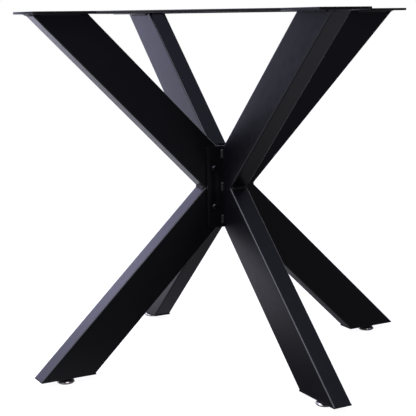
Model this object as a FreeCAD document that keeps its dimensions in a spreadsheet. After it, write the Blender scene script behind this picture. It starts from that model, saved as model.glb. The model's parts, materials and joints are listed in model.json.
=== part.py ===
import FreeCAD, Part
import os
import re
import Sketcher
from FreeCAD import Placement, Rotation, Vector

# A knock-down four star table base. Four legs of rectangular steel tube stand around one upright axis.
# Each leg is an upper arm and a lower arm, mitred together at the waist, with its widest tube faces
# upright. A hub plate across each leg's inner end carries an ear that is bolted to the side of the
# next leg, so that the four plates close into a pinwheel round a square hollow. Millimetres, +Z up,
# with the origin on the floor under the middle.
#
# Each leg is drawn in its own frame: X runs outwards from the upright axis, Y runs round it
# anticlockwise as seen from above, and the finished piece is then turned to the leg's place.

SIZES = (
    ("total_height", 730, "floor to the top of the top plates"),
    ("waist_height", 369, "floor to the mitre between the arms"),
    ("waist_radius", 57.5, "axis to the outer corner of the mitre"),
    ("top_reach", 419, "axis to the upper arm's outer edge, under the top plate"),
    ("foot_reach", 428, "axis to the lower arm's outer edge, on the foot cap"),
    ("tube_width", 80, "wide side of the tube, upright in the leg"),
    ("tube_depth", 40, "narrow side of the tube"),
    ("tube_wall", 2, "wall of the tube"),
    ("tube_inner_corner", 1, "radius of the tube's corners inside"),
    ("hub_plate_thickness", 5, "plate across each leg's inner end"),
    ("hub_plate_margin", 5, "how far that plate stands past the tube ends above and below"),
    ("hub_ear_width", 35, "how far that plate reaches over the next leg"),
    ("hub_plate_corner", 4, "rounded corners of that plate"),
    ("hub_bolt_spacing", 80, "height between the two bolts of an ear"),
    ("hub_bolt_hole", 9, "holes in the ears and in the tube walls"),
    ("weld_leg", 4, "leg of the stitch welds at the hub plates"),
    ("weld_length", 20, "length of a stitch weld"),
    ("weld_inset", 1.5, "end of the tube to the end of the outermost stitch weld"),
    ("waist_weld_leg", 5, "leg of the weld in the hollow corner of the mitre"),
    ("top_weld_leg", 6, "leg of the weld between an arm's outer face and its top plate"),
    ("side_weld_leg", 4, "leg of the welds between an arm's wide faces and its top plate"),
    ("side_weld_length", 80, "length of the welds along an arm's wide faces"),
    ("bolt_diameter", 8, "thread of the hub bolts and of the glides"),
    ("bolt_length", 16, "hub bolt under its head"),
    ("bolt_head_diameter", 14, "button head"),
    ("bolt_head_height", 4.4, "button head"),
    ("bolt_head_rim", 1.2, "straight rim of the button head"),
    ("bolt_socket_flats", 5, "hexagon socket, across flats"),
    ("bolt_socket_depth", 2.6, "hexagon socket"),
    ("nut_flats", 13, "nuts in the hub and at the feet, across flats"),
    ("nut_height", 6.5, "nuts in the hub and at the feet"),
    ("thread_clearance", 0.05, "between a thread and its bore, all round"),
    ("top_plate_thickness", 5, "plate on each upper arm"),
    ("top_plate_length", 125, "that plate, outwards"),
    ("top_plate_width", 110, "that plate, across"),
    ("top_plate_overhang", 10, "that plate past the arm's outer edge"),
    ("top_hole_spacing", 80, "square of the four table screws in a top plate"),
    ("top_hole_diameter", 7, "holes for the table screws"),
    ("top_rail_width", 30, "flat rail between two top plates"),
    ("foot_cap_thickness", 3, "plate that closes the lower arm"),
    ("foot_clearance", 12, "floor to the underside of the foot cap"),
    ("foot_hole_diameter", 9, "hole in the foot cap"),
    ("glide_diameter", 35, "plated cup of the glide"),
    ("glide_height", 9, "floor to the top of the cup"),
    ("glide_wall", 1.5, "sheet of the cup"),
    ("glide_corner", 3, "rounded shoulder of the cup"),
    ("glide_skirt_gap", 1.5, "floor to the cup's lower rim"),
    ("sole_clearance", 0.2, "between the cup and the sole in it, all round"),
    ("sole_chamfer", 0.8, "lower edge of the sole"),
    ("stud_length", 28, "threaded stud of the glide"),
)

# Worked out from the sizes above. "run" is measured outwards and "rise" upwards.
FORMULAS = {
    "half_depth": "tube_depth / 2",
    "tube_corner": "tube_inner_corner + tube_wall",
    "hub_face": "half_depth + hub_plate_thickness",
    "arm_top": "total_height - top_plate_thickness",
    "leg_bottom": "foot_clearance + foot_cap_thickness",
    "upper_run": "top_reach - waist_radius",
    "upper_rise": "arm_top - waist_height",
    "lower_run": "foot_reach - waist_radius",
    "lower_rise": "waist_height - leg_bottom",
    "upper_length": "sqrt(upper_run ^ 2 + upper_rise ^ 2)",
    "upper_cut": "tube_width * upper_length / upper_rise",
    "lower_length": "sqrt(lower_run ^ 2 + lower_rise ^ 2)",
    "lower_cut": "tube_width * lower_length / lower_rise",
    "upper_inset": "tube_wall * upper_cut / tube_width",
    "lower_inset": "tube_wall * lower_cut / tube_width",
    "upper_inner": "top_reach - upper_cut",
    "lower_inner": "foot_reach - lower_cut",
    "upper_middle": "(top_reach + upper_inner) / 2",
    "upper_end": "arm_top - (upper_inner - hub_face) * upper_rise / upper_run",
    "lower_end": "leg_bottom + (lower_inner - hub_face) * lower_rise / lower_run",
    "hub_plate_top": "upper_end + hub_plate_margin",
    "hub_plate_bottom": "lower_end - hub_plate_margin",
    "ear_edge": "half_depth + hub_ear_width",
    "ear_middle": "half_depth + hub_ear_width / 2",
    "upper_bolt": "waist_height + hub_bolt_spacing / 2",
    "lower_bolt": "waist_height - hub_bolt_spacing / 2",
    "weld_start": "lower_end + weld_inset",
    "weld_span": "upper_end - lower_end - 2 * weld_inset - weld_length",
    "bore_diameter": "bolt_diameter + 2 * thread_clearance",
    "plate_outer": "top_reach + top_plate_overhang",
    "plate_inner": "plate_outer - top_plate_length",
    "plate_middle": "plate_outer - top_plate_length / 2",
    "plate_half": "top_plate_width / 2",
    "rail_outer": "(plate_inner + plate_half) / sqrt(2)",
    "rail_outer_half": "(plate_inner - plate_half) / sqrt(2)",
    "rail_inner": "rail_outer - top_rail_width",
    "rail_inner_half": "rail_outer_half + top_rail_width",
    "foot_middle": "(foot_reach + lower_inner) / 2",
    "glide_radius": "glide_diameter / 2",
    "sole_radius": "glide_radius - glide_wall - sole_clearance",
    "sole_height": "glide_height - glide_wall",
}

LEG_AZIMUTHS = (45, 135, 225, 315)
RAIL_AZIMUTHS = (90, 180, 270, 360)
RUN_PAST = "tube_width"         # a cutting outline runs this far past the end that it opens
SKETCH_ORIGIN = -1
START, END, CENTRE = 1, 2, 3

doc = FreeCAD.newDocument("four_star_table_base")
sheet = doc.addObject("Spreadsheet::Sheet", "Sizes")
for row, (name, value, note) in enumerate(SIZES, start=1):
    sheet.set(f"A{row}", name)
    sheet.set(f"B{row}", str(value))
    sheet.set(f"C{row}", note)
    sheet.setAlias(f"B{row}", name)
doc.recompute()
ALIASES = {name for name, value, note in SIZES}


def link(formula):
    """A formula in plain names as an expression on the cells of the sheet."""
    def linked(word):
        if word.group() in FORMULAS:
            return f"({link(FORMULAS[word.group()])})"
        return f"Sizes.{word.group()}" if word.group() in ALIASES else word.group()
    return re.sub(r"[a-z_]+", linked, formula)


def number(formula):
    """The present value of a formula."""
    return float(sheet.evalExpression(link(formula)))


def new_body(name, azimuth=0):
    body = doc.addObject("PartDesign::Body", name)
    body.Label = name
    body.Placement = Placement(Vector(0, 0, 0), Rotation(Vector(0, 0, 1), azimuth))
    return body


def new_sketch(body, name, plane, offset=None):
    """A sketch on one of the body's own planes, moved along that plane's normal by a formula."""
    sketch = body.newObject("Sketcher::SketchObject", name)
    origin_plane = next(item for item in body.Origin.OriginFeatures if item.Role == plane)
    sketch.AttachmentSupport = (origin_plane, [""])
    sketch.MapMode = "FlatFace"
    if offset:
        sketch.setExpression("AttachmentOffset.Base.z", link(offset))
    return sketch


def bind(sketch, kind, *where, formula):
    """A dimension of a sketch, bound to the sheet."""
    index = sketch.addConstraint(Sketcher.Constraint(kind, *where, number(formula)))
    sketch.setExpression(f"Constraints[{index}]", link(formula))


def bind_point(sketch, edge, point, x, y):
    bind(sketch, "DistanceX", SKETCH_ORIGIN, 1, edge, point, formula=x)
    bind(sketch, "DistanceY", SKETCH_ORIGIN, 1, edge, point, formula=y)


def draw_polygon(sketch, corners):
    """A closed outline through corners that are each a pair of formulas."""
    first = sketch.GeometryCount
    spots = [Vector(number(x), number(y), 0) for x, y in corners]
    count = len(corners)
    for i in range(count):
        sketch.addGeometry(Part.LineSegment(spots[i], spots[(i + 1) % count]), False)
    for i in range(count):
        sketch.addConstraint(Sketcher.Constraint("Coincident", first + i, END, first + (i + 1) % count, START))
    for i, (x, y) in enumerate(corners):
        bind_point(sketch, first + i, START, x, y)


def draw_rectangle(sketch, left, right, low, high):
    draw_polygon(sketch, ((left, low), (right, low), (right, high), (left, high)))


def draw_circle(sketch, x, y, diameter):
    circle = Part.Circle(Vector(number(x), number(y), 0), Vector(0, 0, 1), number(diameter) / 2)
    edge = sketch.addGeometry(circle, False)
    bind_point(sketch, edge, CENTRE, x, y)
    bind(sketch, "Diameter", edge, formula=diameter)


def draw_hexagon(sketch, x, y, flats):
    """A hexagon with two flats upright."""
    side, tip = f"({flats}) / 2", f"({flats}) / sqrt(3)"
    corners = []
    for across, along in ((1, 0.5), (0, 1), (-1, 0.5), (-1, -0.5), (0, -1), (1, -0.5)):
        corners.append((f"{x} + {across} * {side}", f"{y} + {along} * {tip}"))
    draw_polygon(sketch, corners)


def pad(body, sketch, length, symmetric=False):
    feature = body.newObject("PartDesign::Pad", "Pad")
    feature.Profile = sketch
    feature.setExpression("Length", link(length))
    feature.SideType = "Symmetric" if symmetric else "One side"
    doc.recompute()
    return feature


def pocket(body, sketch, length, symmetric=False):
    """A cut against the sketch's normal, or to both sides of it."""
    before = body.Shape.Volume
    feature = body.newObject("PartDesign::Pocket", "Pocket")
    feature.Profile = sketch
    feature.setExpression("Length", link(length))
    feature.SideType = "Symmetric" if symmetric else "One side"
    doc.recompute()
    if body.Shape.Volume >= before:
        raise RuntimeError(f"{body.Label}: a pocket cuts nothing")
    return feature


def edges_along(shape, direction, keep=lambda edge: True):
    """Names of the straight edges that run along a direction."""
    names = []
    for i, edge in enumerate(shape.Edges, start=1):
        if isinstance(edge.Curve, Part.Line):
            across = edge.tangentAt(edge.FirstParameter).cross(direction).Length
            if across < 1e-6 and keep(edge):
                names.append(f"Edge{i}")
    return names


def fillet(body, base, names, radius):
    feature = body.newObject("PartDesign::Fillet", "Fillet")
    feature.Base = (base, names)
    feature.setExpression("Radius", link(radius))
    doc.recompute()
    return feature


def around_the_hub(body, features, rows=None, span=None):
    """Repeat features up the hub, rows times over a span, and on all four legs."""
    multi = body.newObject("PartDesign::MultiTransform", "AroundTheHub")
    multi.Originals = features
    steps = []
    upright = next(item for item in body.Origin.OriginFeatures if item.Role == "Z_Axis")
    if rows:
        up = body.newObject("PartDesign::LinearPattern", "UpTheHub")
        up.Direction = (upright, [""])
        up.setExpression("Length", link(span))
        up.Occurrences = rows
        steps.append(up)
    turn = body.newObject("PartDesign::PolarPattern", "FourLegs")
    turn.Axis = (upright, [""])
    turn.Angle = 360
    turn.Occurrences = len(LEG_AZIMUTHS)
    steps.append(turn)
    multi.Transformations = steps
    body.Tip = multi
    doc.recompute()


# The arms: the side view is padded to the tube's depth, its long edges are rounded, and the same
# view, set in by the wall and run past both ends, hollows it.

def arm(name, azimuth, outer_end, inner_end, end_height, hub_end, inset, run, rise, bolt_height):
    """One tube from the waist to its far end. The rise is negative for a lower arm."""
    body = new_body(name, azimuth)
    side = new_sketch(body, "SideView", "XZ_Plane")
    draw_polygon(side, (
        ("waist_radius", "waist_height"),
        (outer_end, end_height),
        (inner_end, end_height),
        ("hub_face", hub_end),
        ("hub_face", "waist_height"),
    ))
    tube = pad(body, side, "tube_depth", symmetric=True)
    direction = Vector(number(run), 0, number(rise))
    fillet(body, tube, edges_along(tube.Shape, direction), "tube_corner")

    # The hollow's far corners lie past the arm's end and its near ones past the hub plate and the mitre.
    slope = f"({run}) / ({rise})"
    end_sign = "1" if number(rise) > 0 else "-1"
    far = f"{end_height} + {end_sign} * {RUN_PAST}"
    near = f"waist_height - {end_sign} * 2 * {RUN_PAST}"
    hollow = new_sketch(body, "HollowView", "XZ_Plane")
    corners = []
    for height, corner, shift in ((near, outer_end, f"-({inset})"), (far, outer_end, f"-({inset})"),
                                  (far, inner_end, inset), (near, inner_end, inset)):
        corners.append((f"{corner} + {shift} + ({height} - {end_height}) * {slope}", height))
    draw_polygon(hollow, corners)
    bore = pocket(body, hollow, "tube_depth - 2 * tube_wall", symmetric=True)
    inner_half = number("half_depth - tube_wall")
    inner_edges = edges_along(bore.Shape, direction, lambda edge: abs(abs(edge.CenterOfMass.y) - inner_half) < 1e-3)
    fillet(body, bore, inner_edges, "tube_inner_corner")

    # The next leg's ear is bolted to this side wall.
    hole = new_sketch(body, "BoltHoleView", "XZ_Plane")
    draw_circle(hole, "ear_middle", bolt_height, "hub_bolt_hole")
    pocket(body, hole, "tube_depth")


def arms(number_of_leg, azimuth):
    arm(f"upper_tube_{number_of_leg}", azimuth, "top_reach", "upper_inner", "arm_top", "upper_end",
        "upper_inset", "upper_run", "upper_rise", "upper_bolt")
    arm(f"lower_tube_{number_of_leg}", azimuth, "foot_reach", "lower_inner", "leg_bottom", "lower_end",
        "lower_inset", "lower_run", "-lower_rise", "lower_bolt")


# The hub: four plates with ears in a pinwheel, their bolts and nuts, and the stitch welds.

def hub_plate(name, azimuth):
    body = new_body(name, azimuth)
    outline = new_sketch(body, "PlateOutline", "YZ_Plane", "half_depth")
    draw_rectangle(outline, "-ear_edge", "half_depth", "hub_plate_bottom", "hub_plate_top")
    for height in ("upper_bolt", "lower_bolt"):
        draw_circle(outline, "-ear_middle", height, "hub_bolt_hole")
    plate = pad(body, outline, "hub_plate_thickness")
    fillet(body, plate, edges_along(plate.Shape, Vector(1, 0, 0)), "hub_plate_corner")


def hub_bolts():
    """Button head bolts through the ears, two to a leg."""
    body = new_body("hub_bolts", LEG_AZIMUTHS[0])
    profile = new_sketch(body, "BoltProfile", "XY_Plane", "lower_bolt")
    head_top = "hub_face + bolt_head_height"
    draw_polygon(profile, (
        ("hub_face - bolt_length", "-ear_middle"),
        (head_top, "-ear_middle"),
        (head_top, "-ear_middle + bolt_head_diameter / 4"),
        ("hub_face + bolt_head_rim", "-ear_middle + bolt_head_diameter / 2"),
        ("hub_face", "-ear_middle + bolt_head_diameter / 2"),
        ("hub_face", "-ear_middle + bolt_diameter / 2"),
        ("hub_face - bolt_length", "-ear_middle + bolt_diameter / 2"),
    ))
    turned = body.newObject("PartDesign::Revolution", "Turned")
    turned.Profile = profile
    turned.ReferenceAxis = (profile, ["Edge1"])
    turned.Angle = 360
    doc.recompute()
    socket = new_sketch(body, "Socket", "YZ_Plane", head_top)
    draw_hexagon(socket, "-ear_middle", "lower_bolt", "bolt_socket_flats")
    cut = pocket(body, socket, "bolt_socket_depth")
    around_the_hub(body, [turned, cut], rows=2, span="hub_bolt_spacing")


def hub_nuts():
    """Nuts on the inside of the tube walls, behind the ears."""
    body = new_body("hub_nuts", LEG_AZIMUTHS[0])
    outline = new_sketch(body, "NutOutline", "YZ_Plane", "half_depth - tube_wall - nut_height")
    draw_hexagon(outline, "-ear_middle", "lower_bolt", "nut_flats")
    draw_circle(outline, "-ear_middle", "lower_bolt", "bore_diameter")
    nut = pad(body, outline, "nut_height")
    around_the_hub(body, [nut], rows=2, span="hub_bolt_spacing")


def hub_welds():
    """Three stitch welds to a leg, in the corner between its tubes and its hub plate."""
    body = new_body("hub_welds", LEG_AZIMUTHS[0])
    section = new_sketch(body, "BeadSection", "XY_Plane", "weld_start")
    draw_polygon(section, (
        ("hub_face", "-half_depth"),
        ("hub_face", "-half_depth - weld_leg"),
        ("hub_face + weld_leg", "-half_depth"),
    ))
    bead = pad(body, section, "weld_length")
    around_the_hub(body, [bead], rows=3, span="weld_span")


# The top: a plate with four screw holes on each arm, and a flat rail between neighbouring plates.

def top_plate(name, azimuth):
    body = new_body(name, azimuth)
    outline = new_sketch(body, "PlateOutline", "XY_Plane", "arm_top")
    draw_rectangle(outline, "plate_inner", "plate_outer", "-plate_half", "plate_half")
    for outwards in ("-", "+"):
        for across in ("-", "+"):
            draw_circle(outline, f"plate_middle {outwards} top_hole_spacing / 2",
                        f"0 {across} top_hole_spacing / 2", "top_hole_diameter")
    pad(body, outline, "top_plate_thickness")


def top_rail(name, azimuth):
    """A flat bar whose ends are cut to lie along the inner edges of two plates."""
    body = new_body(name, azimuth)
    outline = new_sketch(body, "RailOutline", "XY_Plane", "arm_top")
    draw_polygon(outline, (
        ("rail_outer", "-rail_outer_half"),
        ("rail_outer", "rail_outer_half"),
        ("rail_inner", "rail_inner_half"),
        ("rail_inner", "-rail_inner_half"),
    ))
    pad(body, outline, "top_plate_thickness")


# The welds on the arms: across their outer faces, and along the wide faces under the top plates.

def cross_bead(body, corners):
    """A bead across a leg's outer face, as long as the flat of the face."""
    section = new_sketch(body, "CrossSection", "XZ_Plane")
    draw_polygon(section, corners)
    return pad(body, section, "tube_depth - 2 * tube_corner", symmetric=True)


def waist_welds():
    """A bead in the hollow corner between a leg's two arms."""
    body = new_body("waist_welds", LEG_AZIMUTHS[0])
    bead = cross_bead(body, (
        ("waist_radius", "waist_height"),
        ("waist_radius + waist_weld_leg * lower_run / lower_length",
         "waist_height - waist_weld_leg * lower_rise / lower_length"),
        ("waist_radius + waist_weld_leg * upper_run / upper_length",
         "waist_height + waist_weld_leg * upper_rise / upper_length"),
    ))
    around_the_hub(body, [bead])


def top_welds():
    """Under each top plate, a bead in the blunt corner below its overhang and one along each wide face."""
    body = new_body("top_welds", LEG_AZIMUTHS[0])
    across = cross_bead(body, (
        ("top_reach", "arm_top"),
        ("top_reach - top_weld_leg * upper_run / upper_length", "arm_top - top_weld_leg * upper_rise / upper_length"),
        ("top_reach + top_weld_leg", "arm_top"),
    ))
    section = new_sketch(body, "SideSection", "YZ_Plane", "upper_middle - side_weld_length / 2")
    for side in ("-1", "1"):
        draw_polygon(section, (
            (f"{side} * half_depth", "arm_top"),
            (f"{side} * half_depth", "arm_top - side_weld_leg"),
            (f"{side} * (half_depth + side_weld_leg)", "arm_top"),
        ))
    along = pad(body, section, "side_weld_length")
    around_the_hub(body, [across, along])


# The foot: a cap with a nut on it closes the lower arm, and a glide is screwed up into it.

def foot_cap(name, azimuth):
    body = new_body(name, azimuth)
    outline = new_sketch(body, "CapOutline", "XY_Plane", "foot_clearance")
    draw_rectangle(outline, "lower_inner", "foot_reach", "-half_depth", "half_depth")
    draw_circle(outline, "foot_middle", "0", "foot_hole_diameter")
    plate = pad(body, outline, "foot_cap_thickness")
    fillet(body, plate, edges_along(plate.Shape, Vector(0, 0, 1)), "tube_corner")


def foot_nut(name, azimuth):
    body = new_body(name, azimuth)
    outline = new_sketch(body, "NutOutline", "XY_Plane", "leg_bottom")
    draw_hexagon(outline, "foot_middle", "0", "nut_flats")
    draw_circle(outline, "foot_middle", "0", "bore_diameter")
    pad(body, outline, "nut_height")


def foot_stud(name, azimuth):
    body = new_body(name, azimuth)
    outline = new_sketch(body, "StudOutline", "XY_Plane", "sole_height")
    draw_circle(outline, "foot_middle", "0", "bolt_diameter")
    pad(body, outline, "stud_length")


def glide_cup(name, azimuth):
    """A pressed cup: a disc with a rounded shoulder, hollowed from below and pierced for the stud."""
    body = new_body(name, azimuth)
    disc = new_sketch(body, "CupOutline", "XY_Plane", "glide_skirt_gap")
    draw_circle(disc, "foot_middle", "0", "glide_diameter")
    cup = pad(body, disc, "glide_height - glide_skirt_gap")
    top = number("glide_height")
    rim = [f"Edge{i}" for i, edge in enumerate(cup.Shape.Edges, start=1)
           if isinstance(edge.Curve, Part.Circle) and abs(edge.CenterOfMass.z - top) < 1e-6]
    fillet(body, cup, rim, "glide_corner")
    inside = new_sketch(body, "CupInside", "XY_Plane", "sole_height")
    draw_circle(inside, "foot_middle", "0", "glide_diameter - 2 * glide_wall")
    pocket(body, inside, "sole_height")
    bore = new_sketch(body, "StudBore", "XY_Plane", "glide_height")
    draw_circle(bore, "foot_middle", "0", "bore_diameter")
    pocket(body, bore, "glide_height")


def glide_sole(name, azimuth):
    body = new_body(name, azimuth)
    outline = new_sketch(body, "SoleOutline", "XY_Plane")
    draw_circle(outline, "foot_middle", "0", "2 * sole_radius")
    disc = pad(body, outline, "sole_height")
    edge = [f"Edge{i}" for i, item in enumerate(disc.Shape.Edges, start=1)
            if isinstance(item.Curve, Part.Circle) and abs(item.CenterOfMass.z) < 1e-6]
    chamfer = body.newObject("PartDesign::Chamfer", "Chamfer")
    chamfer.Base = (disc, edge)
    chamfer.setExpression("Size", link("sole_chamfer"))
    doc.recompute()


PIECES_OF_A_LEG = (
    ("hub_plate", hub_plate),
    ("top_plate", top_plate),
    ("foot_cap", foot_cap),
    ("foot_nut", foot_nut),
    ("foot_stud", foot_stud),
    ("foot_pad", glide_cup),
    ("foot_sole", glide_sole),
)

for leg, azimuth in enumerate(LEG_AZIMUTHS, start=1):
    arms(leg, azimuth)
    for name, make in PIECES_OF_A_LEG:
        make(f"{name}_{leg}", azimuth)
for rail, azimuth in enumerate(RAIL_AZIMUTHS, start=1):
    top_rail(f"top_rail_{rail}", azimuth)
hub_bolts()
hub_nuts()
hub_welds()
waist_welds()
top_welds()
doc.recompute()

for item in doc.Objects:
    if "Invalid" in item.State or "Error" in item.State:
        raise RuntimeError(f"{item.Label} failed: {item.State}")
bodies = [item for item in doc.Objects if item.isDerivedFrom("PartDesign::Body")]
for body in bodies:
    if body.Shape.isNull() or not body.Shape.isValid():
        raise RuntimeError(f"{body.Label} has no sound shape")
os.makedirs("parts", exist_ok=True)
for body in bodies:
    body.Shape.exportStep(f"parts/{body.Label}.step")
    box = body.Shape.BoundBox
    print(f"{body.Label}: {len(body.Shape.Solids)} solids, volume {body.Shape.Volume:.1f}, "
          f"x {box.XMin:.2f} {box.XMax:.2f}, y {box.YMin:.2f} {box.YMax:.2f}, z {box.ZMin:.2f} {box.ZMax:.2f}")
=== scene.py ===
import json
import math
import random

import bmesh
import bpy
from mathutils import Matrix, Vector

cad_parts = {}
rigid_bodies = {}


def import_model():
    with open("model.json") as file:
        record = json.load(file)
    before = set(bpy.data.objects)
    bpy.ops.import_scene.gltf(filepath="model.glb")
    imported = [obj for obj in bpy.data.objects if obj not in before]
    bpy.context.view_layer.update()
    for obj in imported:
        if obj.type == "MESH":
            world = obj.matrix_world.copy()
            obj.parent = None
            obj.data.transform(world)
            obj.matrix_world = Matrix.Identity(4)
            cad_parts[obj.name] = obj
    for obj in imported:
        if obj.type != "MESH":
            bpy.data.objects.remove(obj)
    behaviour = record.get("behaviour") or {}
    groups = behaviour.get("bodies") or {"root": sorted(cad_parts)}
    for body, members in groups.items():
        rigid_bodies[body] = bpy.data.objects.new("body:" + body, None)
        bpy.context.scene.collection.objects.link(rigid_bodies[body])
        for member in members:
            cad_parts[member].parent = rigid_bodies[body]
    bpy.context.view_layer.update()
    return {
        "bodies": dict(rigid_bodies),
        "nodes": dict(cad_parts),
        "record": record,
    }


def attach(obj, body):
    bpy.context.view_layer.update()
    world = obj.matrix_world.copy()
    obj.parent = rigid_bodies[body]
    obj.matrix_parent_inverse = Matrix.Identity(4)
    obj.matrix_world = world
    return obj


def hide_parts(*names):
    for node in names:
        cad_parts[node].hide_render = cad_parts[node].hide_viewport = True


bl_info = {
    "name": "Four star table base",
    "version": (1, 0, 0),
    "blender": (4, 5, 0),
    "location": "3D View > Sidebar > Table base",
    "description": "Dresses a four star steel tube table base and sets up its studio",
    "category": "Object",
}

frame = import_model()
NODES = frame["nodes"]
MOUNTS = {mount["name"]: mount for mount in frame["record"]["mounts"]}
BODY = next(iter(frame["bodies"]))

MM = 0.001
LEGS = (1, 2, 3, 4)
LEG_AZIMUTH = {1: 45.0, 2: 135.0, 3: 225.0, 4: 315.0}
RAIL_AZIMUTH = {1: 90.0, 2: 180.0, 3: 270.0, 4: 0.0}
SHARP = math.radians(40)
PHOTO_WIDTH = 416
SENSOR_WIDTH = 36.0


# Helpers

def linear(hex_colour):
    """An sRGB hex colour as linear red, green, blue and alpha."""
    channels = [int(hex_colour[i:i + 2], 16) / 255 for i in (1, 3, 5)]
    return tuple(c / 12.92 if c <= 0.04045 else ((c + 0.055) / 1.055) ** 2.4 for c in channels) + (1.0,)


def turned(azimuth):
    """From a leg's own frame to the base's: X outwards, Y anticlockwise, Z up."""
    return Matrix.Rotation(math.radians(azimuth), 4, "Z")


def leg_box(node, azimuth):
    """Lowest and highest corner of a CAD node, measured in its leg's own frame."""
    back = turned(-azimuth)
    spots = [back @ vertex.co for vertex in NODES[node].data.vertices]
    low = Vector([min(spot[axis] for spot in spots) for axis in range(3)])
    high = Vector([max(spot[axis] for spot in spots) for axis in range(3)])
    return low, high


def finish_piece(name, bm, material, replaces=()):
    """Make a piece of a bmesh whose vertices are in place, and let it ride on the base."""
    bmesh.ops.remove_doubles(bm, verts=bm.verts, dist=1e-6)
    bmesh.ops.recalc_face_normals(bm, faces=bm.faces)
    for edge in bm.edges:
        edge.smooth = edge.calc_face_angle(0.0) < SHARP
    for face in bm.faces:
        face.smooth = True
    mesh = bpy.data.meshes.new(name)
    bm.to_mesh(mesh)
    bm.free()
    mesh.materials.append(material)
    piece = bpy.data.objects.new(name, mesh)
    bpy.context.scene.collection.objects.link(piece)
    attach(piece, BODY)
    if replaces:
        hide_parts(*replaces)
    return piece


def bevel_edges(bm, edges, radius, segments=3):
    bmesh.ops.bevel(bm, geom=edges, offset=radius, offset_type="OFFSET", segments=segments, profile=0.5,
                    affect="EDGES", clamp_overlap=True, material=-1)


def sharp_edges(bm, angle=math.radians(50)):
    return [edge for edge in bm.edges if edge.calc_face_angle(0.0) > angle]


def flat_plate(outline, holes, thickness, edge_radius, corner_radius=0.0):
    """A plate on the XY plane with round holes, its edges rounded over as coating leaves them."""
    bm = bmesh.new()
    corners = [bm.verts.new((x, y, 0.0)) for x, y in outline]
    bm.faces.new(corners)
    if corner_radius:
        bmesh.ops.bevel(bm, geom=corners, offset=corner_radius, offset_type="OFFSET", segments=6, profile=0.5,
                        affect="VERTICES", clamp_overlap=True, material=-1)
    bmesh.ops.delete(bm, geom=bm.faces[:], context="FACES_ONLY")
    for x, y, radius in holes:
        middle = Matrix.Translation((x, y, 0.0))
        bmesh.ops.create_circle(bm, cap_ends=False, segments=40, radius=radius, matrix=middle)
    bmesh.ops.triangle_fill(bm, use_beauty=True, edges=bm.edges[:], normal=(0.0, 0.0, 1.0))
    grown = bmesh.ops.extrude_face_region(bm, geom=bm.faces[:])["geom"]
    upper = [item for item in grown if isinstance(item, bmesh.types.BMVert)]
    bmesh.ops.translate(bm, verts=upper, vec=(0.0, 0.0, thickness))
    bmesh.ops.recalc_face_normals(bm, faces=bm.faces)
    bevel_edges(bm, sharp_edges(bm), edge_radius)
    return bm


def spun(profile, segments=64):
    """A shape of revolution about Z from (radius, height) points."""
    bm = bmesh.new()
    verts = [bm.verts.new((radius, 0.0, height)) for radius, height in profile]
    edges = [bm.edges.new(pair) for pair in zip(verts, verts[1:])]
    bmesh.ops.spin(bm, geom=verts + edges, axis=(0.0, 0.0, 1.0), cent=(0.0, 0.0, 0.0), angle=math.tau,
                   steps=segments, use_merge=True)
    bmesh.ops.remove_doubles(bm, verts=bm.verts, dist=1e-7)
    bmesh.ops.dissolve_degenerate(bm, dist=1e-8, edges=bm.edges)
    return bm


def rounded_profile(points, radius, steps=5):
    """A profile with its inner corners rounded: each is (radius, height, corner radius share)."""
    path = []
    for i, (across, up, share) in enumerate(points):
        if share == 0 or i in (0, len(points) - 1):
            path.append((across, up))
            continue
        here = Vector((across, up))
        to_last = Vector(points[i - 1][:2]) - here
        to_next = Vector(points[i + 1][:2]) - here
        reach = min(radius * share, to_last.length * 0.49, to_next.length * 0.49)
        start, end = here + to_last.normalized() * reach, here + to_next.normalized() * reach
        for step in range(steps + 1):
            part = step / steps
            spot = start * (1 - part) ** 2 + here * 2 * part * (1 - part) + end * part ** 2
            path.append((spot.x, spot.y))
    return path


def threaded_rod(radius, pitch, low, high, steps=24):
    """A rod along Z from one height to another with a rolled metric thread."""
    root = radius - 0.61 * pitch
    start = low - 1.5 * pitch
    turns = math.ceil((high - low) / pitch) + 3
    bm = bmesh.new()
    path = [(root, 0.0), (radius, 0.38), (radius, 0.5), (root, 0.88), (root, 1.0)]
    verts = [bm.verts.new((across, 0.0, start + part * pitch)) for across, part in path]
    edges = [bm.edges.new(pair) for pair in zip(verts, verts[1:])]
    bmesh.ops.spin(bm, geom=verts + edges, axis=(0.0, 0.0, 1.0), cent=(0.0, 0.0, 0.0),
                   dvec=(0.0, 0.0, pitch / steps), angle=math.tau * turns, steps=steps * turns,
                   use_merge=False)
    bmesh.ops.remove_doubles(bm, verts=bm.verts, dist=1e-6)
    for height, way in ((low, -1.0), (high, 1.0)):
        geom = bm.verts[:] + bm.edges[:] + bm.faces[:]
        bmesh.ops.bisect_plane(bm, geom=geom, dist=1e-7, plane_co=(0.0, 0.0, height),
                               plane_no=(0.0, 0.0, way), clear_outer=True)
        rim = [edge for edge in bm.edges if edge.is_boundary
               and all(abs(vert.co.z - height) < 1e-6 for vert in edge.verts)]
        bmesh.ops.contextual_create(bm, geom=rim)
    return bm


def joined(pieces):
    """One bmesh of several, each placed by its matrix."""
    whole = bmesh.new()
    for bm, place in pieces:
        part = bpy.data.meshes.new("part")
        bm.to_mesh(part)
        part.transform(place)
        whole.from_mesh(part)
        bpy.data.meshes.remove(part)
    return whole


# Materials

def add_node(tree, kind, inputs=None, **settings):
    """Add a node with its settings; inputs gives each socket a value or the output that feeds it."""
    node = tree.nodes.new(kind)
    for name, value in settings.items():
        setattr(node, name, value)
    for name, value in (inputs or {}).items():
        if isinstance(value, bpy.types.NodeSocket):
            tree.links.new(value, node.inputs[name])
        else:
            node.inputs[name].default_value = value
    return node


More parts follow.
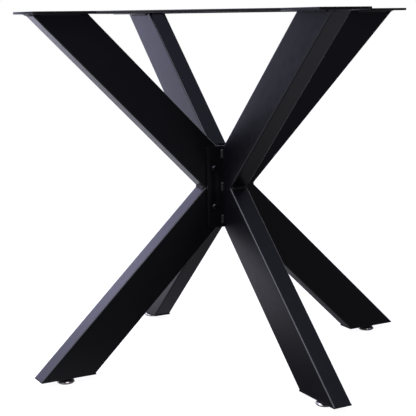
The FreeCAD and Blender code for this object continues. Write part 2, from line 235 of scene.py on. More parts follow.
def new_material(name, sockets):
    """A material whose shader has its even values set on its own sockets."""
    material = bpy.data.materials.new(name)
    material.use_nodes = True
    tree = material.node_tree
    tree.nodes.clear()
    shader = add_node(tree, "ShaderNodeBsdfPrincipled", sockets)
    add_node(tree, "ShaderNodeOutputMaterial", {"Surface": shader.outputs["BSDF"]})
    spots = add_node(tree, "ShaderNodeTexCoord").outputs["Object"]
    return material, tree, shader, spots


def scale_of(size_mm):
    """The scale of a noise texture whose grains are this wide."""
    return 1 / (size_mm * MM)


def mottle(tree, spots, size_mm, low, high, detail=2.0):
    """Noise of one grain size, mapped from its middle range to two values."""
    noise = add_node(tree, "ShaderNodeTexNoise", {
        "Vector": spots, "Scale": scale_of(size_mm), "Detail": detail, "Roughness": 0.55})
    return add_node(tree, "ShaderNodeMapRange", {
        "Value": noise.outputs["Fac"], "From Min": 0.3, "From Max": 0.7, "To Min": low, "To Max": high,
    }).outputs["Result"]


def tint(tree, spots, size_mm, first, second):
    """Noise of one grain size that runs between two colours."""
    part = mottle(tree, spots, size_mm, 0.0, 1.0)
    mix = add_node(tree, "ShaderNodeMix", {"Factor": part}, data_type="RGBA")
    mix.inputs["A"].default_value = linear(first)
    mix.inputs["B"].default_value = linear(second)
    return next(socket for socket in mix.outputs if socket.type == "RGBA")


def powder_coat():
    """Satin polyester powder coat, sprayed dry and baked: near black, with a fine orange peel that
    breaks reflections up softly, and a slightly uneven gloss."""
    look = bpy.context.scene.table_base_looks
    material, tree, shader, spots = new_material("satin_powder_coat", {
        "IOR": look.coat_ior, "Metallic": 0.0})
    patches = mottle(tree, spots, 60.0, 0.0, 1.0)
    colour = add_node(tree, "ShaderNodeMix", {"Factor": patches}, data_type="RGBA")
    colour.inputs["A"].default_value = (*look.coat_colour, 1.0)
    colour.inputs["B"].default_value = (*(c * 1.35 for c in look.coat_colour), 1.0)
    tree.links.new(next(s for s in colour.outputs if s.type == "RGBA"), shader.inputs["Base Color"])
    gloss = look.coat_roughness
    tree.links.new(mottle(tree, spots, 14.0, gloss - 0.03, gloss + 0.03), shader.inputs["Roughness"])
    peel = mottle(tree, spots, look.orange_peel / MM, 0.0, 1.0, detail=3.0)
    bump = add_node(tree, "ShaderNodeBump", {"Height": peel, "Strength": 0.22, "Distance": 0.05 * MM})
    tree.links.new(bump.outputs["Normal"], shader.inputs["Normal"])
    return material


def coated_weld():
    """The same coat over a weld bead, whose ripples and spatter break its gloss."""
    look = bpy.context.scene.table_base_looks
    material, tree, shader, spots = new_material("coated_weld_bead", {
        "IOR": look.coat_ior, "Metallic": 0.0})
    tree.links.new(tint(tree, spots, 5.0, "#060608", "#0e0e12"), shader.inputs["Base Color"])
    tree.links.new(mottle(tree, spots, 3.0, 0.42, 0.58), shader.inputs["Roughness"])
    bump = add_node(tree, "ShaderNodeBump", {"Height": mottle(tree, spots, 1.2, 0.0, 1.0), "Strength": 0.3,
                                             "Distance": 0.1 * MM})
    tree.links.new(bump.outputs["Normal"], shader.inputs["Normal"])
    return material


def black_plating():
    """Black passivated zinc on a rolled and headed screw: dark metal with a low, oily gloss."""
    material, tree, shader, spots = new_material("black_passivated_zinc", {"Metallic": 1.0})
    tree.links.new(tint(tree, spots, 4.0, "#242427", "#38383c"), shader.inputs["Base Color"])
    tree.links.new(mottle(tree, spots, 1.6, 0.22, 0.36), shader.inputs["Roughness"])
    bump = add_node(tree, "ShaderNodeBump", {"Height": mottle(tree, spots, 0.5, 0.0, 1.0), "Strength": 0.15,
                                             "Distance": 0.03 * MM})
    tree.links.new(bump.outputs["Normal"], shader.inputs["Normal"])
    return material


def bright_zinc():
    """Bright electroplated zinc on steel: bluish white, with a slightly uneven gloss."""
    material, tree, shader, spots = new_material("bright_zinc_plate", {"Metallic": 1.0})
    tree.links.new(tint(tree, spots, 3.0, "#aab0b6", "#c6cbd0"), shader.inputs["Base Color"])
    tree.links.new(mottle(tree, spots, 1.0, 0.24, 0.4), shader.inputs["Roughness"])
    return material


def polished_nickel():
    """Nickel on pressed sheet steel, barrel polished: warm and bright, on a faintly uneven surface."""
    material, tree, shader, spots = new_material("polished_nickel_plate", {"Metallic": 1.0})
    tree.links.new(tint(tree, spots, 6.0, "#bdb8ae", "#d4d0c8"), shader.inputs["Base Color"])
    tree.links.new(mottle(tree, spots, 2.0, 0.1, 0.2), shader.inputs["Roughness"])
    bump = add_node(tree, "ShaderNodeBump", {"Height": mottle(tree, spots, 0.8, 0.0, 1.0), "Strength": 0.08,
                                             "Distance": 0.03 * MM})
    tree.links.new(bump.outputs["Normal"], shader.inputs["Normal"])
    return material


def brown_nylon():
    """Brown nylon moulded against a spark eroded mould: low gloss with a fine grain."""
    material, tree, shader, spots = new_material("moulded_brown_nylon", {"Metallic": 0.0, "IOR": 1.53})
    tree.links.new(tint(tree, spots, 7.0, "#4a2f1e", "#5c3d29"), shader.inputs["Base Color"])
    tree.links.new(mottle(tree, spots, 3.0, 0.38, 0.58), shader.inputs["Roughness"])
    bump = add_node(tree, "ShaderNodeBump", {"Height": mottle(tree, spots, 0.6, 0.0, 1.0), "Strength": 0.25,
                                             "Distance": 0.05 * MM})
    tree.links.new(bump.outputs["Normal"], shader.inputs["Normal"])
    return material


MAKERS = {
    "satin_powder_coat": powder_coat,
    "coated_weld_bead": coated_weld,
    "black_passivated_zinc": black_plating,
    "bright_zinc_plate": bright_zinc,
    "polished_nickel_plate": polished_nickel,
    "moulded_brown_nylon": brown_nylon,
}


def material_of(name):
    return bpy.data.materials.get(name) or MAKERS[name]()


def finish_coated(node, bm):
    """A powder coated piece in place of a CAD node."""
    finish_piece(f"coated_{node}", bm, material_of("satin_powder_coat"), [node])


def finish_welds(name, beads, node):
    """All weld beads of one kind as one piece."""
    finish_piece(name, joined(beads), material_of("coated_weld_bead"), [node])


def give_cad_material(node, name):
    mesh = NODES[node].data
    mesh.materials.clear()
    mesh.materials.append(material_of(name))


# Settings

class TableBaseSizes(bpy.types.PropertyGroup):
    """Sizes that the frame doesn't give."""
    plate_edge: bpy.props.FloatProperty(
        name="Plate edge", description="Rounding that the coat leaves on a cut plate's edges",
        default=0.7 * MM, min=0.1 * MM, max=2 * MM, unit="LENGTH")
    hub_bolt_spacing: bpy.props.FloatProperty(
        name="Hub bolt spacing", description="Height between the two bolts of an ear",
        default=80 * MM, unit="LENGTH")
    hub_hole: bpy.props.FloatProperty(
        name="Hub hole", description="Diameter of the holes in the ears", default=9 * MM, unit="LENGTH")
    bolt_head: bpy.props.FloatProperty(
        name="Bolt head", description="Diameter of the button heads", default=14 * MM, unit="LENGTH")
    bolt_head_height: bpy.props.FloatProperty(
        name="Bolt head height", description="Height of the button heads", default=4.4 * MM, unit="LENGTH")
    bolt_thread: bpy.props.FloatProperty(
        name="Bolt thread", description="Diameter of the bolts and studs", default=8 * MM, unit="LENGTH")
    bolt_length: bpy.props.FloatProperty(
        name="Bolt length", description="Length of a bolt under its head", default=16 * MM, unit="LENGTH")
    socket_flats: bpy.props.FloatProperty(
        name="Socket", description="Width across the flats of the hexagon sockets",
        default=5 * MM, unit="LENGTH")
    socket_depth: bpy.props.FloatProperty(
        name="Socket depth", description="Depth of the hexagon sockets", default=2.6 * MM, unit="LENGTH")
    thread_pitch: bpy.props.FloatProperty(
        name="Thread pitch", description="Pitch of the bolts' and studs' thread",
        default=1.25 * MM, unit="LENGTH")
    hub_plate_corner: bpy.props.FloatProperty(
        name="Hub plate corner", description="Radius of the hub plates' corners",
        default=4 * MM, unit="LENGTH")
    tube_corner: bpy.props.FloatProperty(
        name="Tube corner", description="Outer radius of the tubes' edges", default=3 * MM, unit="LENGTH")
    weld_leg: bpy.props.FloatProperty(
        name="Weld leg", description="Leg of the stitch welds on the hub plates",
        default=4 * MM, unit="LENGTH")
    weld_length: bpy.props.FloatProperty(
        name="Weld length", description="Length of a stitch weld", default=20 * MM, unit="LENGTH")
    weld_inset: bpy.props.FloatProperty(
        name="Weld inset", description="End of the tube to the outermost stitch weld",
        default=1.5 * MM, unit="LENGTH")
    weld_ripple: bpy.props.FloatProperty(
        name="Weld ripple", description="Pitch of the ripples along a bead", default=1.8 * MM, unit="LENGTH")
    waist_weld_leg: bpy.props.FloatProperty(
        name="Waist weld leg", description="Leg of the welds in the hollow of the mitres",
        default=5 * MM, unit="LENGTH")
    top_weld_leg: bpy.props.FloatProperty(
        name="Top weld leg", description="Leg of the welds across the arms' outer faces",
        default=6 * MM, unit="LENGTH")
    side_weld_leg: bpy.props.FloatProperty(
        name="Side weld leg", description="Leg of the welds along the arms' sides",
        default=4 * MM, unit="LENGTH")
    side_weld_length: bpy.props.FloatProperty(
        name="Side weld length", description="Length of the welds along the arms' sides",
        default=80 * MM, unit="LENGTH")
    foot_hole: bpy.props.FloatProperty(
        name="Foot hole", description="Hole in the foot caps", default=9 * MM, unit="LENGTH")
    cup_skirt: bpy.props.FloatProperty(
        name="Cup skirt", description="Height of the upright rim of a glide's cup",
        default=2.2 * MM, unit="LENGTH")
    cup_rounding: bpy.props.FloatProperty(
        name="Cup rounding", description="Rounding of a glide's cup at its shoulder and rim",
        default=2.4 * MM, unit="LENGTH")
    sole_rounding: bpy.props.FloatProperty(
        name="Sole rounding", description="Rounding of a glide's sole", default=2 * MM, unit="LENGTH")


class TableBaseLooks(bpy.types.PropertyGroup):
    """Colour and gloss of the coat."""
    coat_colour: bpy.props.FloatVectorProperty(
        name="Coat colour", description="Colour of the powder coat",
        subtype="COLOR", size=3, min=0.0, max=1.0,
        default=linear("#07070a")[:3])
    coat_roughness: bpy.props.FloatProperty(
        name="Coat roughness", description="Satin gloss of the powder coat", default=0.31, min=0.0, max=1.0)
    coat_ior: bpy.props.FloatProperty(
        name="Coat IOR", description="Refractive index of the powder coat", default=1.5, min=1.0, max=2.0)
    orange_peel: bpy.props.FloatProperty(
        name="Orange peel", description="Width of one dimple of the orange peel",
        default=2.4 * MM, unit="LENGTH")


class TableBaseStage(bpy.types.PropertyGroup):
    """The studio and the camera."""
    camera_place: bpy.props.FloatVectorProperty(
        name="Camera place", description="Where the camera stands", subtype="XYZ", unit="LENGTH",
        default=(0.61524, -2.20679, 0.71302))
    camera_heading: bpy.props.FloatProperty(
        name="Heading", description="Turn of the camera from +Y, anticlockwise", unit="ROTATION",
        default=math.radians(16.488))
    camera_pitch: bpy.props.FloatProperty(
        name="Pitch", description="How far the camera looks up", unit="ROTATION",
        default=math.radians(-9.757))
    camera_roll: bpy.props.FloatProperty(
        name="Roll", description="Turn of the camera about its own line of sight", unit="ROTATION",
        default=math.radians(-0.789))
    focal_pixels: bpy.props.FloatProperty(
        name="Focal length", description="Focal length in pixels of the photo's width", default=1102.29)
    key_place: bpy.props.FloatVectorProperty(
        name="Key light place", description="Where the softbox at the front left stands",
        subtype="XYZ", unit="LENGTH",
        default=(-1.193, -1.325, 1.976))
    key_size: bpy.props.FloatVectorProperty(
        name="Key light size", description="Width and height of the softbox at the front left", size=2,
        unit="LENGTH", default=(2.2, 3.0))
    key_power: bpy.props.FloatProperty(
        name="Key light", description="Power of the softbox at the front left", default=60.0)
    fill_place: bpy.props.FloatVectorProperty(
        name="Fill light place", description="Where the softbox above the camera stands",
        subtype="XYZ", unit="LENGTH",
        default=(0.3, -1.3, 2.15))
    fill_size: bpy.props.FloatVectorProperty(
        name="Fill light size", description="Width and height of the softbox above the camera", size=2,
        unit="LENGTH", default=(2.6, 0.9))
    fill_power: bpy.props.FloatProperty(
        name="Fill light", description="Power of the softbox above the camera", default=16.0)
    edge_place: bpy.props.FloatVectorProperty(
        name="Edge light place", description="Where the softbox at the back left stands",
        subtype="XYZ", unit="LENGTH",
        default=(-1.2, 0.76, 0.525))
    edge_size: bpy.props.FloatVectorProperty(
        name="Edge light size", description="Width and height of the softbox at the back left", size=2,
        unit="LENGTH", default=(0.65, 0.65))
    edge_power: bpy.props.FloatProperty(
        name="Edge light", description="Power of the softbox at the back left", default=1.45)
    floor_size: bpy.props.FloatProperty(
        name="Floor size", description="Side of the floor", default=30.0, unit="LENGTH")


# Pieces

class TABLEBASE_OT_tubes(bpy.types.Operator):
    """Coat the arms, which keep their CAD shape, and plate the nuts"""
    bl_idname = "table_base.tubes"
    bl_label = "Tubes"

    def execute(self, context):
        for leg in LEGS:
            give_cad_material(f"upper_tube_{leg}", "satin_powder_coat")
            give_cad_material(f"lower_tube_{leg}", "satin_powder_coat")
            give_cad_material(f"foot_nut_{leg}", "bright_zinc_plate")
        give_cad_material("hub_nuts", "bright_zinc_plate")
        return {"FINISHED"}


def ear_of(leg):
    """A leg's hub plate in its own frame, and where the middle of its ear lies across."""
    low, high = leg_box(f"hub_plate_{leg}", LEG_AZIMUTH[leg])
    tube_low, _ = leg_box(f"upper_tube_{leg}", LEG_AZIMUTH[leg])
    return low, high, (low.y + tube_low.y) / 2


def waist_of(leg):
    """Height of the mitre: the foot of the upper arm."""
    return leg_box(f"upper_tube_{leg}", LEG_AZIMUTH[leg])[0].z


class TABLEBASE_OT_hub_plates(bpy.types.Operator):
    """Model the four hub plates with their bolt holes"""
    bl_idname = "table_base.hub_plates"
    bl_label = "Hub plates"

    def execute(self, context):
        sizes = context.scene.table_base_sizes
        upright = Matrix(((0, 0, 1, 0), (1, 0, 0, 0), (0, 1, 0, 0), (0, 0, 0, 1)))
        for leg in LEGS:
            low, high, ear = ear_of(leg)
            outline = ((low.y, low.z), (high.y, low.z), (high.y, high.z), (low.y, high.z))
            waist, reach = waist_of(leg), sizes.hub_bolt_spacing / 2
            holes = [(ear, waist + side * reach, sizes.hub_hole / 2) for side in (-1, 1)]
            bm = flat_plate(outline, holes, high.x - low.x, sizes.plate_edge, sizes.hub_plate_corner)
            place = turned(LEG_AZIMUTH[leg]) @ Matrix.Translation((low.x, 0, 0)) @ upright
            bmesh.ops.transform(bm, matrix=place, verts=bm.verts)
            finish_coated(f"hub_plate_{leg}", bm)
        return {"FINISHED"}


def button_head_bolt(sizes):
    """A button head bolt along Z, its head up and its bearing face at zero."""
    radius, height = sizes.bolt_head / 2, sizes.bolt_head_height
    mouth = sizes.socket_flats / 2 * 1.25
    profile = rounded_profile((
        (0.0, 0.0, 0),
        (radius * 0.96, 0.0, 0),
        (radius, 0.3 * MM, 0),
        (radius, height * 0.26, 0.4),
        (radius * 0.8, height * 0.72, 1),
        (mouth * 1.25, height, 1),
        (mouth, height, 0),
    ), 3 * MM)
    bm = spun(profile, 48)
    rim = [edge for edge in bm.edges if edge.is_boundary]
    for drop in (0.35 * MM, sizes.socket_depth):
        grown = bmesh.ops.extrude_edge_only(bm, edges=rim)["geom"]
        ring = [item for item in grown if isinstance(item, bmesh.types.BMVert)]
        rim = [item for item in grown if isinstance(item, bmesh.types.BMEdge)]
        for vert in ring:
            angle = math.atan2(vert.co.y, vert.co.x)
            off_flat = (angle + math.pi / 6) % (math.pi / 3) - math.pi / 6
            reach = sizes.socket_flats / 2 / math.cos(off_flat)
            vert.co = (reach * math.cos(angle), reach * math.sin(angle), height - drop)
    bmesh.ops.contextual_create(bm, geom=rim)
    return bm


class TABLEBASE_OT_hub_bolts(bpy.types.Operator):
    """Model the button head bolts in the ears"""
    bl_idname = "table_base.hub_bolts"
    bl_label = "Hub bolts"

    def execute(self, context):
        sizes = context.scene.table_base_sizes
        pieces = []
        for leg in LEGS:
            _, high, ear = ear_of(leg)
            for row, side in enumerate((-1, 1)):
                spot = Vector((high.x, ear, waist_of(leg) + side * sizes.hub_bolt_spacing / 2))
                spin = Matrix.Rotation(math.radians(13 * leg + 31 * row), 4, "Z")
                outwards = Matrix.Rotation(math.pi / 2, 4, "Y")
                place = turned(LEG_AZIMUTH[leg]) @ Matrix.Translation(spot) @ outwards @ spin
                thread = threaded_rod(sizes.bolt_thread / 2, sizes.thread_pitch, -sizes.bolt_length, 0.0)
                pieces += [(button_head_bolt(sizes), place), (thread, place)]
        finish_piece("button_head_bolts", joined(pieces), material_of("black_passivated_zinc"),
                     ["hub_bolts"])
        return {"FINISHED"}


def ripple_bead(corner, along, first, second, length, leg, sizes, seed):
    """A weld bead in a corner: it leans on the directions first and second and runs along the third.
    Its ripples are crescents, as the pool of molten metal leaves them, and none is quite like the last."""
    chance = random.Random(seed)
    ripples = max(round(length / sizes.weld_ripple), 3)
    depths = [chance.uniform(0.012, 0.045) for _ in range(ripples + 1)]
    fine = 5
    points = 9
    bm = bmesh.new()
    turn_of = bm.verts.layers.float.new("turn")
    ring = [bm.verts.new() for _ in range(points + 1)]
    for i, vert in enumerate(ring):
        vert[turn_of] = -1.0 if i == points else i / (points - 1) * math.pi / 2

    def lay(verts, part):
        """Put one ring of the bead in place, this far along it."""
        to_end = min(part, 1 - part) * length / leg
        taper = 0.35 + 0.65 * math.sqrt(1 - max(0.0, 1 - to_end / 0.8) ** 2)
        ripple, wave = divmod(part * ripples * fine + 1e-6, fine)
        thick = leg * taper * (1 - depths[int(ripple)] * (wave / fine) ** 2)
        lag = min(1.0, to_end / 2) * 0.3 * leg
        for vert in verts:
            turn = vert[turn_of]
            if turn < 0:
                vert.co = corner + along * length * part - (first + second) * 0.05 * leg
                continue
            middle = math.sin(2 * turn)
            lean = first * math.cos(turn) + second * math.sin(turn)
            vert.co = corner + along * (length * part - lag * middle) + lean * thick * (1 - 0.2 * middle)

    face = bm.faces.new(ring)
    lay(ring, 0.0)
    for step in range(1, ripples * fine + 1):
        grown = bmesh.ops.extrude_face_region(bm, geom=[face])["geom"]
        face = next(item for item in grown if isinstance(item, bmesh.types.BMFace))
        lay(face.verts, step / (ripples * fine))
    return bm


def hub_ends(leg, hub_face):
    """Lowest and highest point of a leg's tubes where they meet its hub plate."""
    back = turned(-LEG_AZIMUTH[leg])
    heights = []
    for node in (f"lower_tube_{leg}", f"upper_tube_{leg}"):
        spots = [back @ vertex.co for vertex in NODES[node].data.vertices]
        heights += [spot.z for spot in spots if abs(spot.x - hub_face) < 0.1 * MM]
    return min(heights), max(heights)


def outer_line(leg):
    """A leg's outer edge seen from the side: where it leaves the top plate, its hollow corner, its foot."""
    azimuth = LEG_AZIMUTH[leg]
    back = turned(-azimuth)
    spots = [back @ vertex.co for vertex in NODES[f"upper_tube_{leg}"].data.vertices]
    waist = min(spot.z for spot in spots)
    corner = max(spot.x for spot in spots if spot.z < waist + 0.1 * MM)
    top = leg_box(f"upper_tube_{leg}", azimuth)[1]
    foot_low, foot_high = leg_box(f"lower_tube_{leg}", azimuth)
    return Vector((top.x, 0.0, top.z)), Vector((corner, 0.0, waist)), Vector((foot_high.x, 0.0, foot_low.z))


class TABLEBASE_OT_hub_welds(bpy.types.Operator):
    """Model the stitch welds between the hub plates and the tubes"""
    bl_idname = "table_base.hub_welds"
    bl_label = "Hub welds"

    def execute(self, context):
        sizes = context.scene.table_base_sizes
        pieces = []
        for leg in LEGS:
            high = ear_of(leg)[1]
            side = leg_box(f"upper_tube_{leg}", LEG_AZIMUTH[leg])[0].y
            ends = hub_ends(leg, high.x)
            span = ends[1] - ends[0] - 2 * sizes.weld_inset - sizes.weld_length
            for row in range(3):
                corner = Vector((high.x, side, ends[0] + sizes.weld_inset + span * row / 2))
                bead = ripple_bead(corner, Vector((0, 0, 1)), Vector((1, 0, 0)), Vector((0, -1, 0)),
                                   sizes.weld_length, sizes.weld_leg, sizes, 10 * leg + row)
                pieces.append((bead, turned(LEG_AZIMUTH[leg])))
        finish_welds("stitch_welds", pieces, "hub_welds")
        return {"FINISHED"}


class TABLEBASE_OT_waist_welds(bpy.types.Operator):
    """Model the welds in the hollow corner of each mitre"""
    bl_idname = "table_base.waist_welds"
    bl_label = "Waist welds"

    def execute(self, context):
        sizes = context.scene.table_base_sizes
        pieces = []
        for leg in LEGS:
            top, corner, foot = outer_line(leg)
            half = leg_box(f"upper_tube_{leg}", LEG_AZIMUTH[leg])[1].y - sizes.tube_corner
            bead = ripple_bead(corner - Vector((0, half, 0)), Vector((0, 1, 0)), (top - corner).normalized(),
                               (foot - corner).normalized(), 2 * half, sizes.waist_weld_leg, sizes, 50 + leg)
            pieces.append((bead, turned(LEG_AZIMUTH[leg])))
        finish_welds("mitre_welds", pieces, "waist_welds")
        return {"FINISHED"}


class TABLEBASE_OT_top_welds(bpy.types.Operator):
    """Model the welds between the arms and the screw plates"""
    bl_idname = "table_base.top_welds"
    bl_label = "Top welds"

    def execute(self, context):
        sizes = context.scene.table_base_sizes
        pieces = []
        for leg in LEGS:
            place = turned(LEG_AZIMUTH[leg])
            top, corner, _ = outer_line(leg)
            high = leg_box(f"upper_tube_{leg}", LEG_AZIMUTH[leg])[1]
            half = high.y - sizes.tube_corner
            bead = ripple_bead(top - Vector((0, half, 0)), Vector((0, 1, 0)), Vector((1, 0, 0)),
                               (corner - top).normalized(), 2 * half, sizes.top_weld_leg, sizes, 60 + leg)
            pieces.append((bead, place))
            middle = (leg_box(f"top_plate_{leg}", LEG_AZIMUTH[leg])[0].x + top.x) / 2
            for side in (-1, 1):
                start = Vector((middle - sizes.side_weld_length / 2, side * high.y, top.z))
                bead = ripple_bead(start, Vector((1, 0, 0)), Vector((0, side, 0)), Vector((0, 0, -1)),
                                   sizes.side_weld_length, sizes.side_weld_leg, sizes, 70 + 2 * leg + side)
                pieces.append((bead, place))
        finish_welds("screw_plate_welds", pieces, "top_welds")
        return {"FINISHED"}


class TABLEBASE_OT_top_plates(bpy.types.Operator):
    """Model the screw plates on the upper arms"""
    bl_idname = "table_base.top_plates"
    bl_label = "Top plates"

    def execute(self, context):
        sizes = context.scene.table_base_sizes
        for leg in LEGS:
            low, high = leg_box(f"top_plate_{leg}", LEG_AZIMUTH[leg])
            mount = MOUNTS[f"table_screws_{leg}"]
            middle = turned(-LEG_AZIMUTH[leg]) @ Vector(mount["pos_m"])
            reach = mount["dims"]["pcd_mm"] * MM / 2 / math.sqrt(2)
            radius = mount["dims"]["hole_r_mm"] * MM
            holes = [(middle.x + a * reach, middle.y + b * reach, radius) for a in (-1, 1) for b in (-1, 1)]
            outline = ((low.x, low.y), (high.x, low.y), (high.x, high.y), (low.x, high.y))
            bm = flat_plate(outline, holes, high.z - low.z, sizes.plate_edge)
            place = turned(LEG_AZIMUTH[leg]) @ Matrix.Translation((0, 0, low.z))
            bmesh.ops.transform(bm, matrix=place, verts=bm.verts)
            finish_coated(f"top_plate_{leg}", bm)
        return {"FINISHED"}


class TABLEBASE_OT_top_rails(bpy.types.Operator):
    """Model the flat rails between the screw plates"""
    bl_idname = "table_base.top_rails"
    bl_label = "Top rails"

    def execute(self, context):
        sizes = context.scene.table_base_sizes
        for rail in LEGS:
            azimuth = RAIL_AZIMUTH[rail]
            low, high = leg_box(f"top_rail_{rail}", azimuth)
            width = high.x - low.x
            outline = ((low.x, low.y), (high.x, low.y + width), (high.x, high.y - width), (low.x, high.y))
            bm = flat_plate(outline, (), high.z - low.z, sizes.plate_edge)
            place = turned(azimuth) @ Matrix.Translation((0, 0, low.z))
            bmesh.ops.transform(bm, matrix=place, verts=bm.verts)
            finish_coated(f"top_rail_{rail}", bm)
        return {"FINISHED"}


class TABLEBASE_OT_foot_caps(bpy.types.Operator):
    """Model the plates that close the lower arms"""
    bl_idname = "table_base.foot_caps"
    bl_label = "Foot caps"

    def execute(self, context):
        sizes = context.scene.table_base_sizes
        for leg in LEGS:
            low, high = leg_box(f"foot_cap_{leg}", LEG_AZIMUTH[leg])
            outline = ((low.x, low.y), (high.x, low.y), (high.x, high.y), (low.x, high.y))
            holes = [((low.x + high.x) / 2, 0.0, sizes.foot_hole / 2)]
            bm = flat_plate(outline, holes, high.z - low.z, sizes.plate_edge)
            place = turned(LEG_AZIMUTH[leg]) @ Matrix.Translation((0, 0, low.z))
            bmesh.ops.transform(bm, matrix=place, verts=bm.verts)
            finish_coated(f"foot_cap_{leg}", bm)
        return {"FINISHED"}


class TABLEBASE_OT_glides(bpy.types.Operator):
    """Model the nickel plated cups, the nylon soles and the studs of the levelling glides"""
    bl_idname = "table_base.glides"
    bl_label = "Levelling glides"

    def execute(self, context):
        sizes = context.scene.table_base_sizes
        bore = sizes.bolt_thread / 2
        for leg in LEGS:
            low, high = leg_box(f"foot_pad_{leg}", LEG_AZIMUTH[leg])
            middle = (low + high) / 2
            radius = (high.x - low.x) / 2
            place = turned(LEG_AZIMUTH[leg]) @ Matrix.Translation((middle.x, middle.y, 0))
            sole_low, sole_high = leg_box(f"foot_sole_{leg}", LEG_AZIMUTH[leg])
            sole_radius = (sole_high.x - sole_low.x) / 2
            wall = high.z - sole_high.z
            skirt = low.z + sizes.cup_skirt
            cup = spun(rounded_profile((
                (bore, sole_high.z, 0),
                (radius * 0.7, sole_high.z, 0.6),
                (radius - wall, skirt - 0.4 * MM, 0.5),
                (radius - wall, low.z, 0),
                (radius - 0.4 * MM, low.z, 0),
                (radius, low.z + 0.4 * MM, 0),
                (radius, skirt, 1),
                (radius * 0.74, high.z, 1),
                (bore, high.z, 0),
                (bore, sole_high.z, 0),
            ), sizes.cup_rounding))
            bmesh.ops.transform(cup, matrix=place, verts=cup.verts)
            finish_piece(f"glide_cup_{leg}", cup, material_of("polished_nickel_plate"),
                         [f"foot_pad_{leg}"])
            sole = spun(rounded_profile((
                (0.0, 0.0, 0),
                (sole_radius, 0.0, 0.4),
                (sole_radius, skirt - MM, 0.8),
                (radius * 0.64, sole_high.z, 0.4),
                (0.0, sole_high.z, 0),
            ), sizes.sole_rounding))
            bmesh.ops.transform(sole, matrix=place, verts=sole.verts)
            finish_piece(f"nylon_sole_{leg}", sole, material_of("moulded_brown_nylon"),
                         [f"foot_sole_{leg}"])
            stud_low, stud_high = leg_box(f"foot_stud_{leg}", LEG_AZIMUTH[leg])
            stud = threaded_rod(bore, sizes.thread_pitch, stud_low.z, stud_high.z)
            bmesh.ops.transform(stud, matrix=place, verts=stud.verts)
            finish_piece(f"glide_stud_{leg}", stud, material_of("bright_zinc_plate"),
                         [f"foot_stud_{leg}"])
        return {"FINISHED"}


# Stage

WHITE = (1.0, 1.0, 1.0, 1.0)
FLOOR_GREY = (0.35, 0.35, 0.35, 1.0)
# Colour of the painted light with which the floor glows towards the object.
FLOOR_PAINTED_LIGHT_COLOUR = (0.97, 0.96, 1.12, 1.0)
ROOM_COLOUR = (0.88, 0.88, 1.28, 1.0)
WALL_COLOUR = (0.85, 0.84, 1.24, 1.0)
# Way towards the floor's painted pool of light, and middle of its painted shadow under the hub.
FLOOR_PAINTED_LIGHT_WAY = (-0.9, 0.44, 0.0)
HUB_PAINTED_SHADOW_MIDDLE = (0.05, 0.06, 0.0)
UPWARDS = (0.0, 0.0, 1.0)
WALL_WAY = Vector((-0.9, 0.42, 0.1)).normalized()
PAPER_WAY = Vector((0.2, 0.97, 0.1)).normalized()

# Each softbox has a name, a target and a colour.
SOFTBOXES = {
    "key": ("front_left_softbox", (0.0, 0.0, 0.37), (0.92, 0.93, 1.1)),
    "fill": ("front_top_softbox", (0.0, 0.0, 0.2), (1.0, 1.0, 1.05)),
    "edge": ("back_left_softbox", (-0.2, 0.2, 0.525), (0.88, 0.86, 1.24)),
}


def studio_floor_material():
    """A pale sweep. The camera sees it near white with soft shadows. To the object it glows with painted
    light:
    a painted pool of light at the back left, dim at the right, a painted shadow below the hub, and even where
    it looks steeply down on it."""
    material = bpy.data.materials.new("pale_studio_sweep")
    material.use_nodes = True
    tree = material.node_tree
    tree.nodes.clear()
    spots = add_node(tree, "ShaderNodeTexCoord").outputs["Object"]
    slant = add_node(tree, "ShaderNodeLayerWeight", {"Blend": 0.5}).outputs["Facing"]
    far = add_node(tree, "ShaderNodeMapRange", {
        "Value": slant, "From Min": 0.82, "From Max": 0.95, "To Min": 0.84, "To Max": 0.2})
    # Painted light: the floor's glow towards the object grows brighter towards the back left.
    side = add_node(tree, "ShaderNodeVectorMath", {0: spots, 1: FLOOR_PAINTED_LIGHT_WAY}, operation="DOT_PRODUCT")
    left = add_node(tree, "ShaderNodeMapRange", {
        "Value": side.outputs["Value"], "From Min": -0.32, "From Max": 0.9,
        "To Min": 0.1, "To Max": far.outputs["Result"]}, interpolation_type="SMOOTHSTEP")
    painted_glow = add_node(tree, "ShaderNodeMapRange", {
        "Value": slant, "From Min": 0.3, "From Max": 0.6, "To Min": 0.3, "To Max": left.outputs["Result"]})
    # Painted shadow: the glow is dimmed around a spot under the hub, where the base would shade the floor.
    reach = add_node(tree, "ShaderNodeVectorMath", {0: spots, 1: HUB_PAINTED_SHADOW_MIDDLE}, operation="DISTANCE")
    shade = add_node(tree, "ShaderNodeMapRange", {
        "Value": reach.outputs["Value"], "From Min": 0.1, "From Max": 0.5, "To Min": 0.4, "To Max": 1.0})
    strength = add_node(tree, "ShaderNodeMath", {0: painted_glow.outputs["Result"], 1: shade.outputs["Result"]},
                        operation="MULTIPLY")
    # The object sees the floor glow with this painted light and shade; the camera sees the sweep below.
    painted_light_for_object = add_node(tree, "ShaderNodeEmission", {
        "Color": FLOOR_PAINTED_LIGHT_COLOUR, "Strength": strength.outputs["Value"]})
    matt = add_node(tree, "ShaderNodeBsdfDiffuse", {"Color": FLOOR_GREY})
    light = add_node(tree, "ShaderNodeEmission", {"Color": WHITE, "Strength": 0.93})
    for_camera = add_node(tree, "ShaderNodeAddShader", {
        0: matt.outputs["BSDF"], 1: light.outputs["Emission"]})
    path = add_node(tree, "ShaderNodeLightPath")
    mix = add_node(tree, "ShaderNodeMixShader", {
        "Fac": path.outputs["Is Camera Ray"], 1: painted_light_for_object.outputs["Emission"],
        2: for_camera.outputs["Shader"]})
    add_node(tree, "ShaderNodeOutputMaterial", {"Surface": mix.outputs["Shader"]})
    return material


